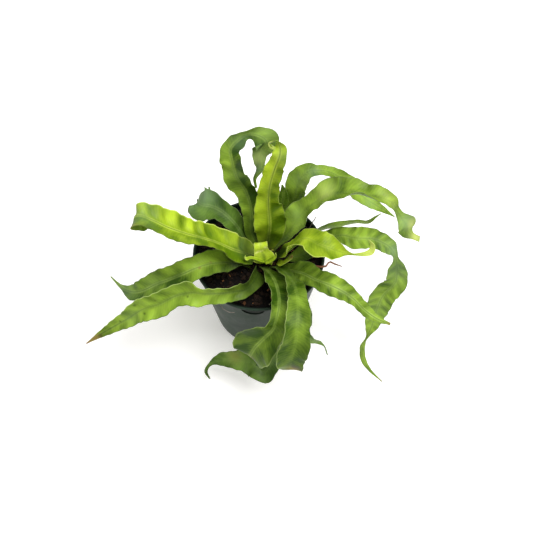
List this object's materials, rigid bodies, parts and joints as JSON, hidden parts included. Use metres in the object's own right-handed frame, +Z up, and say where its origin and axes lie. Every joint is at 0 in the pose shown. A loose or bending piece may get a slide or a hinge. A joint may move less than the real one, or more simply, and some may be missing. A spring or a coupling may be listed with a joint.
{
  "type": "potted bird's nest fern",
  "caption": "Potted bird's nest fern: curled and wavy-edged strap fronds arch out of one crown in a round tapered nursery pot.",
  "frame": {"origin": "centre of the pot's flat underside", "axes": "+Z up along the pot's axis, +X to the right and +Y away in the picture's view"},
  "size_m": [0.2712, 0.1572, 0.2038],
  "materials": {
    "pot_plastic": "satin",
    "potting_mix": "matte",
    "crown": "matte",
    "frond_young": "satin",
    "frond_mature": "satin",
    "frond_shaded": "satin"
  },
  "bodies": {
    "root": {"pot": "pot_plastic", "potting_mix": "potting_mix", "crown": "crown", "frond_west_high": "frond_young", "frond_west_low": "frond_mature", "frond_southwest": "frond_mature", "frond_northwest": "frond_shaded", "frond_north_loop": "frond_mature", "frond_centre_tall": "frond_young", "frond_northeast_back": "frond_mature", "frond_northeast_high": "frond_mature", "frond_east_narrow": "frond_mature", "frond_east_arching": "frond_mature", "frond_east_young": "frond_young", "frond_southeast": "frond_mature", "frond_south_left": "frond_mature", "frond_south_right": "frond_mature", "frond_southeast_under": "frond_shaded", "frond_south_tail": "frond_shaded", "frond_heart_curl": "frond_young", "frond_north_inner": "frond_mature", "frond_cut_short": "frond_young"}
  },
  "joints": []
}
